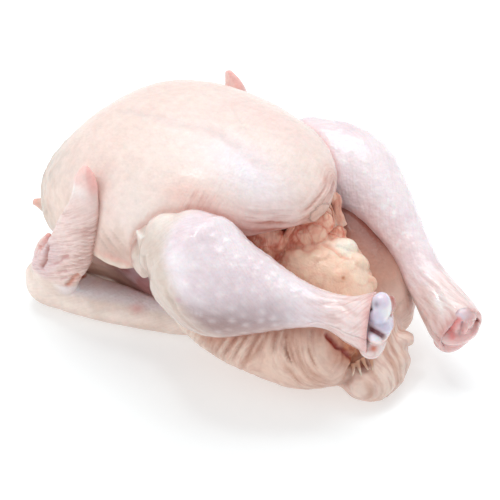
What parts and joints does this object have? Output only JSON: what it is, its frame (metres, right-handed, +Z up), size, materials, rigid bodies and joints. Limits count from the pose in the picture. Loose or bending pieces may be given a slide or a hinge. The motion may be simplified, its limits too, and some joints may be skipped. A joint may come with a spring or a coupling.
{
  "type": "whole raw chicken",
  "caption": "Whole raw chicken, plucked and drawn, resting on its back with loose drumsticks, folded wings, a fat pad at the cavity and bare joint ends at the hocks.",
  "frame": {"origin": "centre of the bounding box's bottom face, on the surface the bird lies on", "axes": "+X from the neck to the tail, +Y to the bird's own left side, +Z up through the breast"},
  "size_m": [0.237, 0.1614, 0.1086],
  "materials": {
    "skin": "moist raw poultry skin, cream pink on the breast and lilac pink on the legs, slightly translucent",
    "fat": "soft cream-orange raw fat with fine reddish veins, moist",
    "cartilage": "wet bluish-white joint cartilage"
  },
  "bodies": {
    "root": {"chicken": "skin", "belly_fat": "fat", "hock_joint_right": "cartilage", "hock_joint_left": "cartilage"}
  },
  "joints": []
}
